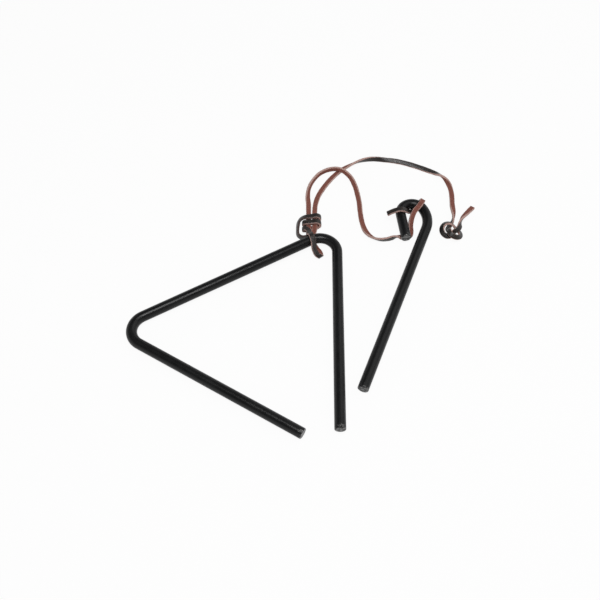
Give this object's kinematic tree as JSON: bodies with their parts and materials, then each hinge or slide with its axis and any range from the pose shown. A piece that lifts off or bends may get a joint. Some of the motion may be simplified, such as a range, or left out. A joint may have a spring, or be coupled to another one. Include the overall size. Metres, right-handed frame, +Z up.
{
  "type": "dinner triangle",
  "caption": "Call bell of round bar bent to a triangle with one open corner, with a hooked striker tied to it by a flat leather lace that also hangs it.",
  "frame": {"origin": "middle of the box round the triangle and the striker, on the surface they lie on", "axes": "+Z up from that surface, +Y from the open corner towards the hang corner, +X from the triangle towards the striker"},
  "size_m": [0.3176, 0.3064, 0.0151],
  "materials": {
    "triangle_paint": "satin black paint on steel bar",
    "striker_paint": "satin black paint on steel bar",
    "lace_leather": "dark grain side, red-brown flesh side and edges"
  },
  "bodies": {
    "thong": {"bar_knot_upper": "lace_leather", "bar_loop": "lace_leather", "bar_knot_lower": "lace_leather", "striker_strand": "lace_leather", "hanger_strand": "lace_leather", "end_knot": "lace_leather"},
    "triangle": {"triangle_rod": "triangle_paint"},
    "striker": {"striker_rod": "striker_paint", "striker_hitch": "lace_leather"}
  },
  "joints": [
    {"name": "triangle_turn", "type": "hinge", "parent": "thong", "child": "triangle", "pos_m": [0.02275, 0.07407, 0.00751], "axis": [-0.8719, -0.4894, -0.014], "range_deg": [0, 110]},
    {"name": "striker_swing", "type": "hinge", "parent": "thong", "child": "striker", "pos_m": [0.09924, 0.08205, 0], "axis": [0, 0, 1], "range_deg": [-3.4, 40]}
  ]
}
